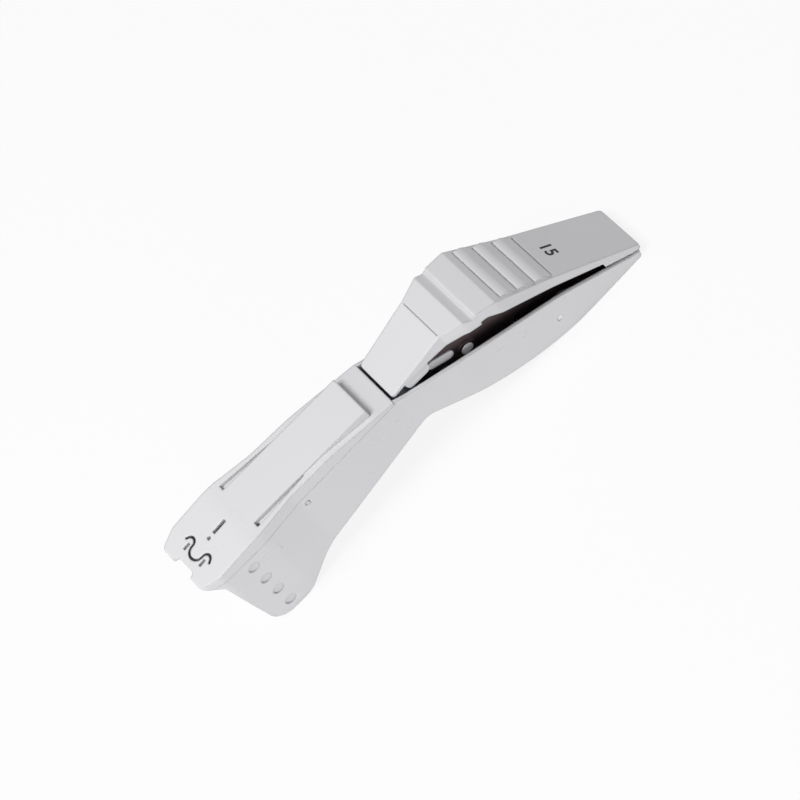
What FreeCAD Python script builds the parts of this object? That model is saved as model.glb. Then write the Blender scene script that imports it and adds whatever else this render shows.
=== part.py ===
import FreeCAD, Part
import Sketcher
import math
import os

# Compact skin stapler, lying upright as it stands on a table.
# X runs from the nose (negative) to the tail, Y across, Z up from the table.
# The origin is the centre of the underside.

Vector = FreeCAD.Vector

# Driving sizes in millimetres and degrees, by group

SIZES = {
    # Side view of the housing
    "nose_tip_x": -57.1,
    "nose_seam_x": -55.5,
    "kink_x": -53.5,
    "kink_z": 23.4,
    "skirt_front_x": -51.2,
    "skirt_rear_x": -42.0,
    "toe_radius": 5.0,
    "heel_radius": 6.0,
    "neck_x": -33.4,
    "neck_z": 6.2,
    "neck_radius": 14.0,
    "waist_x": 0.7,
    "waist_z": 14.4,
    "waist_radius": 4.0,
    "belly_x": 10.7,
    "belly_z": 8.3,
    "belly_radius": 63.0,
    "base_front_x": 42.0,
    "tail_low_x": 56.0,
    "tail_step_z": 1.6,
    "wall_top_rear_x": 54.2,
    "wall_top_rear_z": 2.4,
    "wall_top_bend_x": 37.2,
    "wall_top_bend_z": 11.6,
    "wall_top_front_x": 0.3,
    "wall_top_front_z": 24.6,
    "wall_top_radius": 40.0,
    "seam_z": 25.3,
    # Plan of the housing: half widths high up and at the table
    "nose_half": 6.9,
    "head_half": 8.8,
    "head_half_low": 7.6,
    "neck_half": 7.35,
    "neck_half_low": 7.0,
    "waist_half": 6.9,
    "belly_half": 7.2,
    "belly_half_low": 7.4,
    "tail_half": 6.7,
    "head_front_x": -52.6,
    "head_rear_x": -40.8,
    "flare_end_x": -31.0,
    "narrow_x": -2.2,
    "belly_front_x": 12.0,
    "belly_rear_x": 36.8,
    "plan_low_z": -2.0,
    "plan_high_z": 32.0,
    "wall": 0.8,
    # Cover
    "nose_top_z": 27.7,
    "crown_x": -43.0,
    "crown_z": 29.2,
    "rail_x": -20.0,
    "rail_z": 28.7,
    "cover_rear_x": -2.7,
    "cover_rear_z": 26.1,
    "roof": 1.2,
    "lobe_radius": 1.7,
    "recess_x": -55.8,
    "recess_half": 2.7,
    "strip_front_x": -39.8,
    "strip_rear_x": -7.9,
    "strip_half": 5.6,
    "strip_z": 29.2,
    "pocket_rear_x": -25.9,
    "pocket_floor_z": 28.1,
    "vent": 0.65,
    "tongue_x": -52.25,
    "tongue_root_x": -52.0,
    "tongue_half": 1.55,
    "tongue_gap": 0.58,
    "window_half": 3.15,
    "window_front_x": -53.9,
    "curl_radius": 1.1,
    "ejector_wire": 0.4,
    "ejector_drop": 0.15,
    "sight_front_x": -47.2,
    "sight_rear_x": -43.7,
    "sight_half": 0.4,
    "sight_dot_x": -48.6,
    "sight_dot_radius": 0.45,
    "latch_x": -29.3,
    "latch_z": 23.0,
    "latch_size": 0.9,
    "latch_gap": 0.1,
    "hook_half": 1.6,
    # Dimples of the skirt
    "dimple_x": -46.3,
    "dimple_low_z": 3.6,
    "dimple_pitch": 6.1,
    "dimple_radius": 1.35,
    "dimple_depth": 0.35,
    # Magazine and staples
    "staple_half": 2.9,
    "wire": 0.55,
    "leg_length": 4.2,
    "crown_bulge": 1.3,
    "crown_back_x": -46.9,
    "staple_pitch": 0.6,
    "ram_plane_z": 26.3,
    "column_lean": 0.0923,
    "column_gap": 0.15,
    "magazine_wall": 0.4,
    "plug_z": 1.0,
    "plug_thickness": 3.2,
    "follower_height": 2.4,
    "spring_folds": 6,
    "spring_strip": 0.35,
    "spring_half": 2.2,
    "spring_inset": 1.0,
    "leaf_bend": 1.9,
    # Ram
    "blade": 0.5,
    "blade_rear_x": -10.0,
    "blade_half": 3.2,
    "fork_half": 2.1,
    "fork_depth": 4.2,
    "ram_gap": 0.15,
    "guide_front_x": -46.4,
    "guide_rear_x": -32.2,
    "guide_plate": 0.6,
    "deck_front_x": -24.0,
    "deck_rear_x": -9.0,
    "deck": 2.0,
    "deck_half": 4.2,
    "riser": 3.0,
    "bar_top_z": 18.0,
    "bar_bottom_z": 16.0,
    "bar_half": 2.2,
    "tail_block_x": 12.4,
    "tail_block_length": 4.6,
    "tail_block_z": 13.6,
    "rivet_radius": 0.9,
    "rivet_front": 3.0,
    "rivet_rear": 3.5,
    # Lever, arm and pins
    "pivot_x": 52.0,
    "pivot_z": 3.4,
    "press_angle": 5.0,
    "ram_stroke": 7.0,
    "cross_pin_x": 15.0,
    "cross_pin_z": 15.0,
    "cross_pin_radius": 0.8,
    "pivot_pin_radius": 1.0,
    "stop_pin_x": 27.0,
    "stop_pin_z": 11.0,
    "stop_pin_radius": 0.8,
    "spring_pin_x": 34.5,
    "spring_pin_z": 6.0,
    "spring_pin_radius": 0.7,
    "pin_gap": 0.06,
    "leaf_foot_x": 24.5,
    "leaf_tip_x": 27.6,
    "leaf_tip_z": 22.6,
    "arm_half": 4.6,
    "arm_plate": 0.8,
    "arm_eye": 1.9,
    "arm_front_x": 4.0,
    "arm_top_z": 25.0,
    "arm_chin_z": 21.2,
    "arm_throat_x": 7.2,
    "arm_throat_z": 17.4,
    "arm_low_x": 12.6,
    "arm_low_z": 13.5,
    "arm_heel_x": 17.0,
    "arm_heel_z": 13.3,
    "arm_stop_drop": 2.2,
    "arm_notch_front_x": 31.0,
    "arm_notch_rear_x": 38.0,
    "arm_notch_z": 9.4,
    "arm_peak_x": 19.0,
    "arm_peak_z": 28.4,
    "arm_bend_x": 26.0,
    "arm_bend_z": 25.6,
    "arm_round": 1.5,
    "arm_roof": 1.5,
    "ear": 0.65,
    "ear_gap": 0.15,
    "foot_x": -2.1,
    "foot_top_z": 26.1,
    "foot_bottom_z": 25.3,
    "foot_rise": 0.9,
    "facet_front_x": 13.1,
    "facet_front_z": 30.5,
    "facet_rear_x": 18.3,
    "facet_rear_z": 30.8,
    "notch_x": 20.3,
    "notch_z": 29.4,
    "step_x": 21.3,
    "step_z": 30.1,
    "crest_x": 26.0,
    "crest_z": 29.1,
    "lever_tail_z": 3.4,
    "foot_half": 5.7,
    "facet_half": 6.5,
    "cheek_half": 5.9,
    "cheek_rear_x": 7.75,
    "shoulder_half": 8.3,
    "crest_half": 9.1,
    "grip_half": 7.75,
    "grip_end_x": 37.2,
    "lever_tail_half": 6.55,
    "lever_wall": 1.0,
    "lobe_x": 4.5,
    "lobe_z": 23.9,
    "lobe_reach": 3.2,
    "cheek_drop": 3.8,
    "lobe_rise": 1.8,
    "skirt_front_edge_x": 17.0,
    "skirt_front_drop": 3.9,
    "skirt_notch_x": 21.2,
    "skirt_notch": 0.8,
    "skirt_mid_x": 22.8,
    "skirt_mid_drop": 2.2,
    "skirt_low_x": 48.4,
    "skirt_low_z": 8.4,
    "skirt_tail_x": 48.5,
    "skirt_tail_gap": 0.9,
    "rib_height": 0.8,
    "rib_width": 2.0,
    "rib_pitch": 3.72,
    "rib_margin": 0.7,
    "rib_front_x": 27.6,
    "crease": 0.35,
    "boss_x": 16.0,
    "boss_z": 18.3,
    "boss_radius": 1.45,
    "collar_wall": 0.95,
    "lug_x": 8.4,
    "lug_z": 22.9,
    "lug_length": 3.8,
    "lug_drop": 1.7,
    "lug_radius": 1.15,
    "lug_gap": 0.04,
    "lug_proud": 0.25,
    "rib_wall": 1.0,
}


class Size:
    """A number of the model together with the sheet expression behind it."""

    def __init__(self, value, text):
        self.value = float(value)
        self.text = text

    @staticmethod
    def of(other):
        """Any number or Size as a Size."""
        return other if isinstance(other, Size) else Size(other, repr(float(other)))

    def join(self, other, sign, value):
        """Two sizes joined by an arithmetic sign."""
        return Size(value, "(" + self.text + " " + sign + " " + other.text + ")")

    def __add__(self, other):
        other = Size.of(other)
        return self.join(other, "+", self.value + other.value)

    def __sub__(self, other):
        other = Size.of(other)
        return self.join(other, "-", self.value - other.value)

    def __mul__(self, other):
        other = Size.of(other)
        return self.join(other, "*", self.value * other.value)

    def __truediv__(self, other):
        other = Size.of(other)
        return self.join(other, "/", self.value / other.value)

    def __radd__(self, other):
        return Size.of(other) + self

    def __rsub__(self, other):
        return Size.of(other) - self

    def __rmul__(self, other):
        return Size.of(other) * self

    def __neg__(self):
        return Size(-self.value, "(0 - " + self.text + ")")

    def __float__(self):
        return self.value


def sine(angle):
    """Sine of an angle in degrees."""
    angle = Size.of(angle)
    return Size(math.sin(math.radians(angle.value)), "sin(" + angle.text + " * 1 deg)")


def cosine(angle):
    """Cosine of an angle in degrees."""
    angle = Size.of(angle)
    return Size(math.cos(math.radians(angle.value)), "cos(" + angle.text + " * 1 deg)")


class Sheet:
    """The sizes by name."""

    def __init__(self, names):
        for name, value in names.items():
            setattr(self, name, Size(value, "Sizes." + name))


doc = FreeCAD.newDocument("SkinStapler")
sheet = doc.addObject("Spreadsheet::Sheet", "Sizes")
for row, (name, value) in enumerate(SIZES.items(), start=1):
    sheet.set("A" + str(row), name)
    sheet.set("B" + str(row), str(value))
    sheet.setAlias("B" + str(row), name)
doc.recompute()
dim = Sheet(SIZES)


# Drawing helpers

def origin_plane(body, role):
    """One of a body's own origin planes."""
    for feature in body.Origin.OriginFeatures:
        if feature.Role == role:
            return feature
    raise ValueError(role)


def new_body(name):
    """A body whose label is the node's name."""
    body = doc.addObject("PartDesign::Body", name)
    body.Label = name
    return body


def new_sketch(body, name, role, offset=None):
    """An empty sketch on an origin plane, raised along its normal by the offset."""
    sketch = body.newObject("Sketcher::SketchObject", name)
    sketch.AttachmentSupport = [(origin_plane(body, role), "")]
    sketch.MapMode = "FlatFace"
    if offset is not None:
        sketch.setExpression(".AttachmentOffset.Base.z", Size.of(offset).text)
    return sketch


class Rules:
    """Constraints gathered for one sketch, added together and then bound to the sheet."""

    def __init__(self, sketch):
        self.sketch = sketch
        self.items = []
        self.bound = []

    def add(self, *rule):
        """A rule with no size of its own."""
        self.items.append(Sketcher.Constraint(*rule))

    def size(self, size, *rule):
        """A rule held at a sheet size."""
        size = Size.of(size)
        self.bound.append((len(self.items), size.text))
        self.items.append(Sketcher.Constraint(*rule, size.value))

    def point(self, geometry, position, x, y):
        """Holds a point at sheet sizes."""
        self.size(x, "DistanceX", -1, 1, geometry, position)
        self.size(y, "DistanceY", -1, 1, geometry, position)

    def apply(self):
        """Puts the rules into the sketch."""
        first = len(self.sketch.Constraints)
        self.sketch.addConstraint(self.items)
        for index, text in self.bound:
            self.sketch.setExpression("Constraints[" + str(first + index) + "]", text)


def bulging_arc(start, end, radius, side):
    """Circular arc from start to end that bulges to the left (1) or right (-1)."""
    chord = end - start
    across = Vector(-chord.y, chord.x, 0).normalize()
    rise = math.sqrt(radius ** 2 - (chord.Length / 2) ** 2)
    peak = (start + end) * 0.5 + across * (side * (radius - rise))
    return Part.Arc(start, peak, end)


def arc_ends(sketch, arc, start):
    """Which end of a sketched arc lies at start, and which at its other end."""
    swapped = sketch.getPoint(arc, 1).distanceToPoint(start) > 1e-4
    return (2, 1) if swapped else (1, 2)


def outline(sketch, corners):
    """Closed outline through corners.

    A corner is (x, y), or (x, y, radius) for a rounded one.
    A corner (x, y, radius, side) starts an arc of that radius to the next corner.
    """
    points = [Vector(float(c[0]), float(c[1]), 0) for c in corners]
    count = len(corners)
    rules = Rules(sketch)
    starts = list(points)
    ends = list(points)
    peaks = {}
    for i, corner in enumerate(corners):
        if len(corner) != 3:
            continue
        back = (points[i - 1] - points[i]).normalize()
        ahead = (points[(i + 1) % count] - points[i]).normalize()
        half = back.getAngle(ahead) / 2
        radius = float(corner[2])
        ends[i] = points[i] + back * (radius / math.tan(half))
        starts[i] = points[i] + ahead * (radius / math.tan(half))
        peaks[i] = points[i] + (back + ahead).normalize() * (radius / math.sin(half) - radius)
    edges = []
    for i, corner in enumerate(corners):
        start = starts[i]
        end = ends[(i + 1) % count]
        if len(corner) == 4:
            curve = bulging_arc(start, end, float(corner[2]), corner[3])
            edge = sketch.addGeometry(curve, False)
            rules.size(corner[2], "Radius", edge)
            edges.append((edge,) + arc_ends(sketch, edge, start))
        else:
            edges.append((sketch.addGeometry(Part.LineSegment(start, end), False), 1, 2))
    for i, corner in enumerate(corners):
        edge, first, last = edges[i]
        before, before_first, before_last = edges[i - 1]
        if i not in peaks:
            rules.add("Coincident", before, before_last, edge, first)
            rules.point(edge, first, corner[0], corner[1])
            continue
        arc = sketch.addGeometry(Part.Arc(ends[i], peaks[i], starts[i]), False)
        arc_first, arc_last = arc_ends(sketch, arc, ends[i])
        rules.add("Tangent", before, before_last, arc, arc_first)
        rules.add("Tangent", arc, arc_last, edge, first)
        rules.size(corner[2], "Radius", arc)
        mark = sketch.addGeometry(Part.Point(points[i]), True)
        rules.add("PointOnObject", mark, 1, before)
        rules.add("PointOnObject", mark, 1, edge)
        rules.point(mark, 1, corner[0], corner[1])
    rules.apply()


def circle(sketch, x, y, radius):
    """Circle about a point."""
    centre = Vector(float(x), float(y), 0)
    edge = sketch.addGeometry(Part.Circle(centre, Vector(0, 0, 1), float(radius)), False)
    rules = Rules(sketch)
    rules.point(edge, 3, x, y)
    rules.size(radius, "Radius", edge)
    rules.apply()


def oblong(sketch, x, y, x_far, y_far, radius):
    """Slot with round ends between two centres."""
    near = Vector(float(x), float(y), 0)
    far = Vector(float(x_far), float(y_far), 0)
    size = float(radius)
    along = (far - near).normalize()
    across = Vector(-along.y, along.x, 0)
    near_curve = Part.Arc(near + across * size, near - along * size, near - across * size)
    far_curve = Part.Arc(far - across * size, far + along * size, far + across * size)
    near_arc = sketch.addGeometry(near_curve, False)
    low = sketch.addGeometry(Part.LineSegment(near - across * size, far - across * size), False)
    far_arc = sketch.addGeometry(far_curve, False)
    high = sketch.addGeometry(Part.LineSegment(far + across * size, near + across * size), False)
    near_first, near_last = arc_ends(sketch, near_arc, near + across * size)
    far_first, far_last = arc_ends(sketch, far_arc, far - across * size)
    rules = Rules(sketch)
    rules.point(near_arc, 3, x, y)
    rules.point(far_arc, 3, x_far, y_far)
    rules.size(radius, "Radius", near_arc)
    rules.size(radius, "Radius", far_arc)
    rules.add("Tangent", near_arc, near_last, low, 1)
    rules.add("Tangent", low, 2, far_arc, far_first)
    rules.add("Tangent", far_arc, far_last, high, 1)
    rules.add("Tangent", high, 2, near_arc, near_first)
    rules.apply()


def rectangle(sketch, x_low, y_low, x_high, y_high):
    """Upright rectangle between two corners."""
    outline(sketch, [(x_low, y_low), (x_high, y_low), (x_high, y_high), (x_low, y_high)])


def pad(body, sketch, length, symmetric=True, reverse=False):
    """Adds the sketch's prism."""
    feature = body.newObject("PartDesign::Pad", sketch.Name + "_pad")
    feature.Profile = sketch
    feature.SideType = "Symmetric" if symmetric else "One side"
    feature.Reversed = reverse
    feature.setExpression("Length", Size.of(length).text)
    body.Tip = feature
    return feature


def pocket(body, sketch, length, symmetric=True, reverse=False):
    """Takes the sketch's prism away."""
    feature = body.newObject("PartDesign::Pocket", sketch.Name + "_pocket")
    feature.Profile = sketch
    feature.SideType = "Symmetric" if symmetric else "One side"
    feature.Reversed = reverse
    feature.setExpression("Length", Size.of(length).text)
    body.Tip = feature
    return feature


def frame_around(sketch, half_x, half_y, centre_y=0):
    """Large rectangle round an outline, so that a pocket leaves only the outline."""
    rectangle(sketch, -half_x, centre_y - half_y, half_x, centre_y + half_y)


# Reach of every trimming pocket, well past the part on each side
REACH = 70.0


def trim_side(body, name, corners):
    """Leaves only what lies inside the side outline."""
    sketch = new_sketch(body, name, "XZ_Plane")
    frame_around(sketch, REACH, REACH)
    outline(sketch, corners)
    return pocket(body, sketch, 2 * REACH)


def mirrored(half):
    """Corners of one side, given from nose to tail, followed by their mirror images."""
    far = [(c[0], -Size.of(c[1])) + tuple(c[2:]) for c in reversed(half)]
    return [(c[0], Size.of(c[1])) + tuple(c[2:]) for c in half] + far


def plan_block(body, name, low, high, low_z, high_z):
    """Upright block between a plan outline low down and another one high up."""
    bottom = new_sketch(body, name + "_low_plan", "XY_Plane", low_z)
    outline(bottom, mirrored(low))
    top = new_sketch(body, name + "_high_plan", "XY_Plane", high_z)
    outline(top, mirrored(high))
    loft = body.newObject("PartDesign::AdditiveLoft", name + "_block")
    loft.Profile = bottom
    loft.Sections = [top]
    loft.Ruled = True
    body.Tip = loft
    return loft


def cut_body(body, tool):
    """Takes another body away."""
    feature = body.newObject("PartDesign::Boolean", body.Name + "_minus_" + tool.Name)
    feature.Type = "Cut"
    feature.setObjects([tool])
    body.Tip = feature
    return feature


def add_box(body, name, x_low, x_high, half, z_low, z_high):
    """Block across the middle plane."""
    sketch = new_sketch(body, name, "XZ_Plane")
    rectangle(sketch, x_low, z_low, x_high, z_high)
    return pad(body, sketch, 2 * Size.of(half))


def cut_box(body, name, x_low, x_high, half, z_low, z_high):
    """Block taken away across the middle plane."""
    sketch = new_sketch(body, name, "XZ_Plane")
    rectangle(sketch, x_low, z_low, x_high, z_high)
    return pocket(body, sketch, 2 * Size.of(half))


def cross_hole(body, name, x, z, radius, half):
    """Hole across the part."""
    sketch = new_sketch(body, name, "XZ_Plane")
    circle(sketch, x, z, radius)
    return pocket(body, sketch, 2 * Size.of(half))


def down_pocket(body, sketch, depth):
    """Pocket that goes down from a plan sketch."""
    return pocket(body, sketch, depth, symmetric=False)


# Plan outlines shared by the housing and its cover

def plan_half(inset, low):
    """Half plan of the white mouldings, set in by a wall where asked."""
    head = dim.head_half_low if low else dim.head_half
    neck = dim.neck_half_low if low else dim.neck_half
    belly = dim.belly_half_low if low else dim.belly_half
    return [
        (dim.nose_tip_x + inset, dim.nose_half - inset, dim.lobe_radius),
        (dim.head_front_x, head - inset, 4.0),
        (dim.head_rear_x, head - inset, 8.0),
        (dim.flare_end_x, neck - inset, 12.0),
        (dim.narrow_x, dim.waist_half - inset),
        (dim.belly_front_x, belly - inset),
        (dim.belly_rear_x, belly - inset),
        (dim.tail_low_x + 0.6 - inset, dim.tail_half - inset, 1.0),
    ]


def shell_block(body, name, inset):
    """Block with the mouldings' plan, narrower at the table than high up."""
    return plan_block(body, name, plan_half(inset, True), plan_half(inset, False),
                      dim.plan_low_z, dim.plan_high_z)


def build_housing():
    """Tub with the nose skirt, the neck and the rear belly."""
    core = new_body("housing_core")
    shell_block(core, "core", dim.wall)
    steep = dim.wall * 1.17
    trim_side(core, "core_side", [
        (dim.kink_x + dim.wall, 2 * dim.seam_z),
        (dim.kink_x + dim.wall, dim.kink_z),
        (dim.skirt_front_x + dim.wall, dim.wall, dim.toe_radius - dim.wall),
        (dim.skirt_rear_x - dim.wall * 0.4, dim.wall, dim.heel_radius + dim.wall),
        (dim.neck_x - dim.wall * 0.3, dim.neck_z + dim.wall, dim.neck_radius),
        (dim.waist_x + 0.2, dim.waist_z + dim.wall * 1.1, dim.waist_radius),
        (dim.belly_x + 0.2, dim.belly_z + steep, dim.belly_radius - dim.wall, -1),
        (dim.base_front_x, dim.wall),
        (dim.tail_low_x - dim.wall, dim.wall),
        (dim.tail_low_x - dim.wall, 2 * dim.seam_z),
    ])
    body = new_body("housing")
    shell_block(body, "housing", 0)
    trim_side(body, "housing_side", [
        (dim.nose_seam_x, dim.seam_z),
        (dim.kink_x, dim.kink_z, 1.0),
        (dim.skirt_front_x, 0, dim.toe_radius),
        (dim.skirt_rear_x, 0, dim.heel_radius),
        (dim.neck_x, dim.neck_z, dim.neck_radius),
        (dim.waist_x, dim.waist_z, dim.waist_radius),
        (dim.belly_x, dim.belly_z, dim.belly_radius, -1),
        (dim.base_front_x, 0),
        (dim.tail_low_x, 0, 0.6),
        (dim.tail_low_x + 0.4, dim.tail_step_z),
        (dim.wall_top_rear_x, dim.wall_top_rear_z),
        (dim.wall_top_bend_x, dim.wall_top_bend_z, dim.wall_top_radius),
        (dim.wall_top_front_x, dim.wall_top_front_z, 2.0),
        (dim.cover_rear_x + 0.05, dim.cover_rear_z - 0.1),
        (dim.cover_rear_x + 0.05, dim.seam_z),
    ])
    cut_body(body, core)
    return body


def finish_housing(body):
    """Tail ears, pin holes, latch windows, dimples and the plug's opening."""
    ear_inner = dim.arm_half + dim.ear_gap
    ear_outer = ear_inner + dim.ear
    ear_radius = dim.pivot_pin_radius + 1.0
    feet = new_sketch(body, "ear_feet", "XZ_Plane")
    rectangle(feet, dim.pivot_x - ear_radius, dim.wall * 0.5,
              dim.pivot_x + ear_radius, dim.wall_top_rear_z - 0.5)
    pad(body, feet, 2 * (dim.tail_half - dim.wall / 2))
    sketch = new_sketch(body, "ears", "XZ_Plane")
    outline(sketch, [
        (dim.pivot_x - ear_radius, dim.wall),
        (dim.pivot_x + ear_radius, dim.wall),
        (dim.pivot_x + ear_radius, dim.pivot_z + ear_radius, ear_radius * 0.9),
        (dim.pivot_x - ear_radius, dim.pivot_z + ear_radius, ear_radius * 0.9),
    ])
    pad(body, sketch, 2 * ear_outer)
    cut_box(body, "between_ears", dim.pivot_x - ear_radius - 0.1, dim.pivot_x + ear_radius + 0.1,
            ear_inner, dim.wall, dim.pivot_z + 2 * ear_radius)
    cross_hole(body, "pivot_hole", dim.pivot_x, dim.pivot_z, dim.pivot_pin_radius + dim.pin_gap,
               ear_outer)
    cross_hole(body, "stop_hole", dim.stop_pin_x, dim.stop_pin_z, dim.stop_pin_radius + dim.pin_gap,
               stop_pin_half())
    cross_hole(body, "spring_hole", dim.spring_pin_x, dim.spring_pin_z,
               dim.spring_pin_radius + dim.pin_gap, REACH)
    add_seats(body)
    half_latch = dim.latch_size / 2 + dim.latch_gap
    cut_box(body, "latch_windows", dim.latch_x - half_latch, dim.latch_x + half_latch, REACH,
            dim.latch_z - half_latch, dim.latch_z + half_latch)
    plug_front = plug_front_x() - dim.ram_gap
    plug_rear = plug_rear_x() + dim.ram_gap
    cut_box(body, "plug_opening", plug_front, plug_rear, magazine_half() + dim.ram_gap,
            -dim.wall, 2 * dim.wall)
    for number in range(4):
        add_dimple(body, number)
    return body


def stop_pin_half():
    """Half length of the stop pin, which ends inside the walls."""
    return dim.belly_half - dim.wall * 0.4


def add_seats(body):
    """Deck under the anvil and two cross ribs under the ram guide."""
    deck = new_sketch(body, "nose_deck", "XZ_Plane")
    rectangle(deck, dim.kink_x + dim.wall / 2, dim.seam_z - dim.wall,
              lean_x(column_front_x() - dim.magazine_wall, dim.seam_z) - dim.ram_gap, dim.seam_z)
    pad(body, deck, 2 * (dim.nose_half - dim.wall / 2))
    places = [
        (dim.guide_front_x + 6.0, dim.head_half - dim.wall * 0.6),
        (dim.guide_rear_x - 3.0, dim.neck_half - dim.wall * 0.2),
    ]
    for number, (x, half) in enumerate(places):
        rib = new_sketch(body, "guide_rib_" + str(number), "XZ_Plane")
        rectangle(rib, x, dim.seam_z - 6.0, x + dim.wall, guide_bottom_z())
        pad(body, rib, 2 * (dim.strip_half - 0.9))
        web = new_sketch(body, "guide_web_" + str(number), "XZ_Plane")
        rectangle(web, x, dim.seam_z - 6.0, x + dim.wall, dim.seam_z - 0.3)
        pad(body, web, 2 * half)


def add_dimple(body, number):
    """Round sight recess in both sides of the skirt."""
    level = dim.dimple_low_z + dim.dimple_pitch * number
    lean = (dim.head_half - dim.head_half_low) / (dim.plan_high_z - dim.plan_low_z)
    face_y = dim.head_half_low + lean * (level - dim.plan_low_z)
    sketch = new_sketch(body, "dimple_" + str(number), "XZ_Plane", face_y - dim.dimple_depth)
    circle(sketch, dim.dimple_x, level, dim.dimple_radius)
    near = pocket(body, sketch, 2 * dim.wall, symmetric=False, reverse=True)
    mirror = body.newObject("PartDesign::Mirrored", "dimple_pair_" + str(number))
    mirror.Originals = [near]
    mirror.MirrorPlane = (origin_plane(body, "XZ_Plane"), [""])
    body.Tip = mirror


def magazine_half():
    """Outer half width of the staple magazine."""
    return dim.staple_half + dim.wire / 2 + dim.column_gap + dim.magazine_wall


def lean_x(x_at_ram_plane, z):
    """Place along X of a point of the leaning staple column at a level."""
    return x_at_ram_plane + (dim.ram_plane_z - z) * dim.column_lean


def column_front_x():
    """Front of the staple column's hollow, at the ram's plane."""
    return dim.crown_back_x - dim.wire / 2 - dim.leg_length - dim.wire / 2 - dim.column_gap


def column_rear_x():
    """Rear of the staple column's hollow, at the ram's plane."""
    return dim.crown_back_x + dim.column_gap


def plug_front_x():
    """Front of the plug that closes the skirt."""
    return lean_x(column_front_x() - dim.magazine_wall, dim.plug_z + dim.plug_thickness) + 1.7


def plug_rear_x():
    """Rear of the plug that closes the skirt."""
    return lean_x(column_rear_x() + dim.magazine_wall, dim.plug_z + dim.plug_thickness)


def leaning_block(body, name, front, rear, low_z, high_z, half):
    """Block that leans forward with the staple column."""
    sketch = new_sketch(body, name, "XZ_Plane")
    outline(sketch, [
        (lean_x(front, low_z), low_z),
        (lean_x(rear, low_z), low_z),
        (lean_x(rear, high_z), high_z),
        (lean_x(front, high_z), high_z),
    ])
    return sketch


def build_magazine():
    """Upright channel that leans forward with the skirt and holds the staples."""
    body = new_body("magazine")
    low = dim.plug_z + dim.plug_thickness
    high = dim.seam_z
    outer = leaning_block(body, "magazine_outside", column_front_x() - dim.magazine_wall,
                          column_rear_x() + dim.magazine_wall, low, high, magazine_half())
    pad(body, outer, 2 * magazine_half())
    inner = leaning_block(body, "magazine_column", column_front_x(), column_rear_x(),
                          low - 1, high + 1, magazine_half())
    pocket(body, inner, 2 * (magazine_half() - dim.magazine_wall))
    sight = new_sketch(body, "magazine_sights", "XZ_Plane")
    middle = (column_front_x() + column_rear_x()) / 2
    outline(sketch=sight, corners=[
        (lean_x(middle, low + 2) - dim.dimple_radius / 2, low + 2),
        (lean_x(middle, low + 2) + dim.dimple_radius / 2, low + 2),
        (lean_x(middle, high - 2) + dim.dimple_radius / 2, high - 2),
        (lean_x(middle, high - 2) - dim.dimple_radius / 2, high - 2),
    ])
    pocket(body, sight, 4 * magazine_half())
    return body


def guide_bottom_z():
    """Underside of the ram guide, on the magazine's top."""
    return dim.ram_plane_z - dim.blade / 2 - dim.ram_gap / 2 - dim.guide_plate


def build_magazine_base():
    """Plug that closes the skirt below the magazine, with a peg for the spring."""
    body = new_body("magazine_base")
    add_box(body, "plug", plug_front_x(), plug_rear_x(), magazine_half(),
            dim.plug_z, dim.plug_z + dim.plug_thickness)
    return body


def build_follower():
    """Block that lifts the stack, with a shallow bed for the crowns."""
    body = new_body("follower")
    top = stack_bottom_z()
    sketch = leaning_block(body, "follower_side", column_front_x() + dim.column_gap,
                           column_rear_x() - dim.column_gap, top - dim.follower_height, top,
                           magazine_half())
    pad(body, sketch, 2 * (magazine_half() - dim.magazine_wall - dim.column_gap))
    recess = leaning_block(body, "follower_foot", column_front_x() + 1.4, column_rear_x() - 1.4,
                           top - dim.follower_height - 1, top - dim.follower_height + 1.2,
                           magazine_half())
    pocket(body, recess, 2 * (magazine_half() - dim.magazine_wall - 1.2))
    return body


STACKED = 14


def stack_bottom_z():
    """Underside of the last staple in the stack."""
    return dim.ram_plane_z - dim.staple_pitch * STACKED - dim.wire / 2


def staple_shape(level):
    """One staple of flat-sided wire, legs forward, its crown bulging forward."""
    wire = float(dim.wire)
    half = float(dim.staple_half)
    back = float(lean_x(dim.crown_back_x, level)) - wire / 2
    tip = back - float(dim.leg_length)
    bulge = float(dim.crown_bulge)
    height = float(level) - wire / 2

    def crown(offset):
        """Crown arc between the shoulders, moved along X."""
        return Part.Arc(
            Vector(back + offset, -half + wire, height),
            Vector(back + offset - bulge, 0, height),
            Vector(back + offset, half - wire, height),
        )

    def run(points):
        """Straight edges through points."""
        return [Part.LineSegment(a, b).toShape() for a, b in zip(points, points[1:])]

    def at(x, y):
        return Vector(x, y, height)

    rear = crown(wire / 2)
    front = crown(-wire / 2)
    outer = half + wire / 2
    inner = half - wire / 2
    point = tip - wire / 2
    left = [at(back + wire / 2, half - wire), at(back + wire / 2, outer), at(tip, outer), at(point, inner),
            at(back - wire / 2, inner), at(back - wire / 2, half - wire)]
    right = [at(back - wire / 2, -half + wire), at(back - wire / 2, -inner), at(point, -inner),
             at(tip, -outer), at(back + wire / 2, -outer), at(back + wire / 2, -half + wire)]
    edges = [rear.toShape()] + run(left) + [front.toShape()] + run(right)
    face = Part.Face(Part.Wire(Part.__sortEdges__(edges)))
    return face.extrude(Vector(0, 0, wire))


def build_staples():
    """The staple before the ram and the stack below it."""
    top = doc.addObject("Part::Feature", "top_staple")
    top.Label = "top_staple"
    top.Shape = staple_shape(dim.ram_plane_z)
    stack = doc.addObject("Part::Feature", "staple_stack")
    stack.Label = "staple_stack"
    stack.Shape = Part.makeCompound([
        staple_shape(dim.ram_plane_z - dim.staple_pitch * number)
        for number in range(1, STACKED + 1)
    ])
    return [top, stack]


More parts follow.
